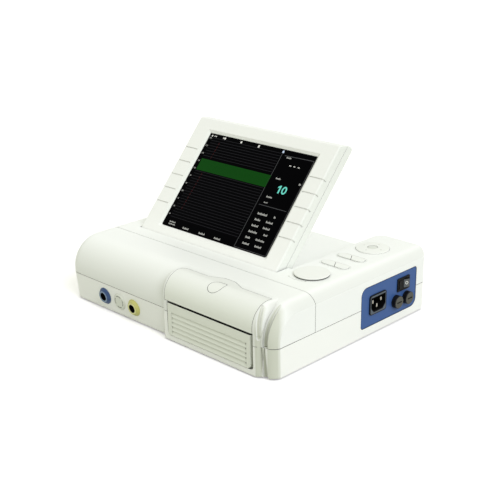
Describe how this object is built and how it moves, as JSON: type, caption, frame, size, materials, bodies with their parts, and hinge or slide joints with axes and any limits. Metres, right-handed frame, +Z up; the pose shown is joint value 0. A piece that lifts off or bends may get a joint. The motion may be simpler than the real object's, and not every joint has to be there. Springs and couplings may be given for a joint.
{
  "type": "fetal doppler monitor",
  "caption": "Table-top fetal Doppler monitor: rounded case, folding display, paper recorder drawer, knob, keys, probe sockets and mains panel.",
  "frame": {"origin": "on the table, under the middle of the bounding box", "axes": "+X along the front towards the mains panel, +Y towards the back, +Z up"},
  "size_m": [0.3278, 0.2574, 0.1888],
  "materials": {
    "case_plastic": "fine satin moulded plastic, warm white",
    "display_plastic": "satin moulded plastic, warm white",
    "drawer_plastic": "satin moulded plastic, warm white",
    "button_plastic": "satin moulded plastic, white",
    "grey_button": "satin grey plastic",
    "screen": "glossy black window",
    "panel_blue": "satin blue paint",
    "black_plastic": "black moulded plastic",
    "grey_plastic": "dark grey moulded plastic",
    "socket_blue": "satin blue plastic",
    "socket_yellow": "satin pale yellow plastic",
    "steel": "bright zinc-plated steel",
    "contact_metal": "nickel-plated brass",
    "head_metal": "extruded aluminium",
    "head_ceramic": "glazed ceramic",
    "rubber_black": "ground rubber",
    "rubber_grey": "moulded rubber",
    "gear_plastic": "acetal",
    "paper": "thermal paper",
    "lcd": "liquid crystal module",
    "board": "green laminate",
    "core": "dark core and frame",
    "fuse_glass": "glass tube"
  },
  "bodies": {
    "case": {"bottom_case": "case_plastic", "front_cover": "case_plastic", "rear_cover": "case_plastic", "printer_cover": "case_plastic", "idler_axle": "steel", "feed_motor": "steel", "print_head": "head_ceramic", "head_heatsink": "head_metal", "hinge_bracket_left": "steel", "hinge_bracket_right": "steel", "encoder_body": "black_plastic", "keypad_board": "board", "side_panel": "panel_blue", "inlet_body": "black_plastic", "inlet_pins": "contact_metal", "switch_frame": "black_plastic", "fuse_holder_1": "black_plastic", "fuse_holder_2": "black_plastic", "probe_socket_blue": "socket_blue", "probe_socket_yellow": "socket_yellow", "socket_blank": "case_plastic", "contact_set_blue": "contact_metal", "contact_set_yellow": "contact_metal", "main_board": "board", "power_board": "board", "power_transformer": "core", "speaker": "core", "case_screws": "steel", "rubber_feet": "rubber_grey"},
    "display": {"display_bezel": "display_plastic", "display_back": "display_plastic", "display_window": "screen", "lcd_panel": "lcd", "hinge_pin_left": "steel", "hinge_pin_right": "steel", "display_screws": "steel"},
    "drawer": {"paper_drawer": "drawer_plastic", "paper_pack": "paper"},
    "platen": {"platen_roller": "rubber_black", "platen_gear": "gear_plastic"},
    "idler": {"idler_gear": "gear_plastic"},
    "pinion": {"motor_pinion": "gear_plastic"},
    "latch": {"release_button": "button_plastic"},
    "collar": {"encoder_collar": "gear_plastic"},
    "knob": {"rotary_knob": "button_plastic", "encoder_spindle": "steel"},
    "key_1": {"key_1": "button_plastic"},
    "key_2": {"key_2": "button_plastic"},
    "key_3": {"key_3": "button_plastic"},
    "key_4": {"key_4": "button_plastic"},
    "nav": {"nav_disc": "button_plastic"},
    "enter": {"enter_button": "grey_button"},
    "rocker": {"switch_rocker": "grey_plastic"},
    "fuse_1": {"fuse_cap_1": "grey_plastic", "fuse_link_1": "fuse_glass"},
    "fuse_2": {"fuse_cap_2": "grey_plastic", "fuse_link_2": "fuse_glass"}
  },
  "joints": [
    {"name": "display_tilt", "type": "hinge", "parent": "case", "child": "display", "pos_m": [-0.0026, -0.03928, 0.0629], "axis": [1, 0, 0], "range_deg": [-48.6, 0]},
    {"name": "drawer_slide", "type": "slide", "parent": "case", "child": "drawer", "axis": [0, -1, 0], "range_m": [0, 0.105]},
    {"name": "platen_turn", "type": "hinge", "parent": "drawer", "child": "platen", "pos_m": [0.0774, -0.11325, 0.035], "axis": [1, 0, 0], "continuous": true},
    {"name": "idler_turn", "type": "hinge", "parent": "case", "child": "idler", "pos_m": [0.0144, -0.09245, 0.035], "axis": [1, 0, 0], "continuous": true},
    {"name": "pinion_turn", "type": "hinge", "parent": "case", "child": "pinion", "pos_m": [0.0144, -0.07565, 0.035], "axis": [1, 0, 0], "continuous": true},
    {"name": "latch_press", "type": "slide", "parent": "case", "child": "latch", "axis": [0, 0.3746, -0.9272], "range_m": [0, 0.002], "stiffness_N_per_m": 400, "springref_m": -0.002},
    {"name": "knob_press", "type": "slide", "parent": "case", "child": "collar", "axis": [0, 0, -1], "range_m": [0, 0.0008], "stiffness_N_per_m": 1500, "springref_m": -0.001},
    {"name": "knob_turn", "type": "hinge", "parent": "collar", "child": "knob", "pos_m": [0.1194, -0.02425, 0.076], "axis": [0, 0, 1], "continuous": true},
    {"name": "key_1_press", "type": "slide", "parent": "case", "child": "key_1", "axis": [0, 0, -1], "range_m": [0, 0.0008], "stiffness_N_per_m": 1000, "springref_m": -0.001},
    {"name": "key_2_press", "type": "slide", "parent": "case", "child": "key_2", "axis": [0, 0, -1], "range_m": [0, 0.0008], "stiffness_N_per_m": 1000, "springref_m": -0.001},
    {"name": "key_3_press", "type": "slide", "parent": "case", "child": "key_3", "axis": [0, 0, -1], "range_m": [0, 0.0008], "stiffness_N_per_m": 1000, "springref_m": -0.001},
    {"name": "key_4_press", "type": "slide", "parent": "case", "child": "key_4", "axis": [0, 0, -1], "range_m": [0, 0.0008], "stiffness_N_per_m": 1000, "springref_m": -0.001},
    {"name": "nav_press", "type": "slide", "parent": "case", "child": "nav", "axis": [0, 0, -1], "range_m": [0, 0.0008], "stiffness_N_per_m": 1000, "springref_m": -0.001},
    {"name": "enter_press", "type": "slide", "parent": "case", "child": "enter", "axis": [0, 0, -1], "range_m": [0, 0.0008], "stiffness_N_per_m": 1000, "springref_m": -0.001},
    {"name": "rocker_tilt", "type": "hinge", "parent": "case", "child": "rocker", "pos_m": [0.1554, 0.0819, 0.0433], "axis": [0, 0, 1], "range_deg": [0, 16]},
    {"name": "fuse_cap_1_turn", "type": "hinge", "parent": "case", "child": "fuse_1", "pos_m": [0.1574, 0.06925, 0.026], "axis": [1, 0, 0], "range_deg": [0, 90]},
    {"name": "fuse_cap_2_turn", "type": "hinge", "parent": "case", "child": "fuse_2", "pos_m": [0.1574, 0.08835, 0.0254], "axis": [1, 0, 0], "range_deg": [0, 90]}
  ],
  "couplings": [
    {"joint": "platen_turn", "follows": "idler_turn", "ratio": -1.3636},
    {"joint": "pinion_turn", "follows": "idler_turn", "ratio": -2.5}
  ]
}
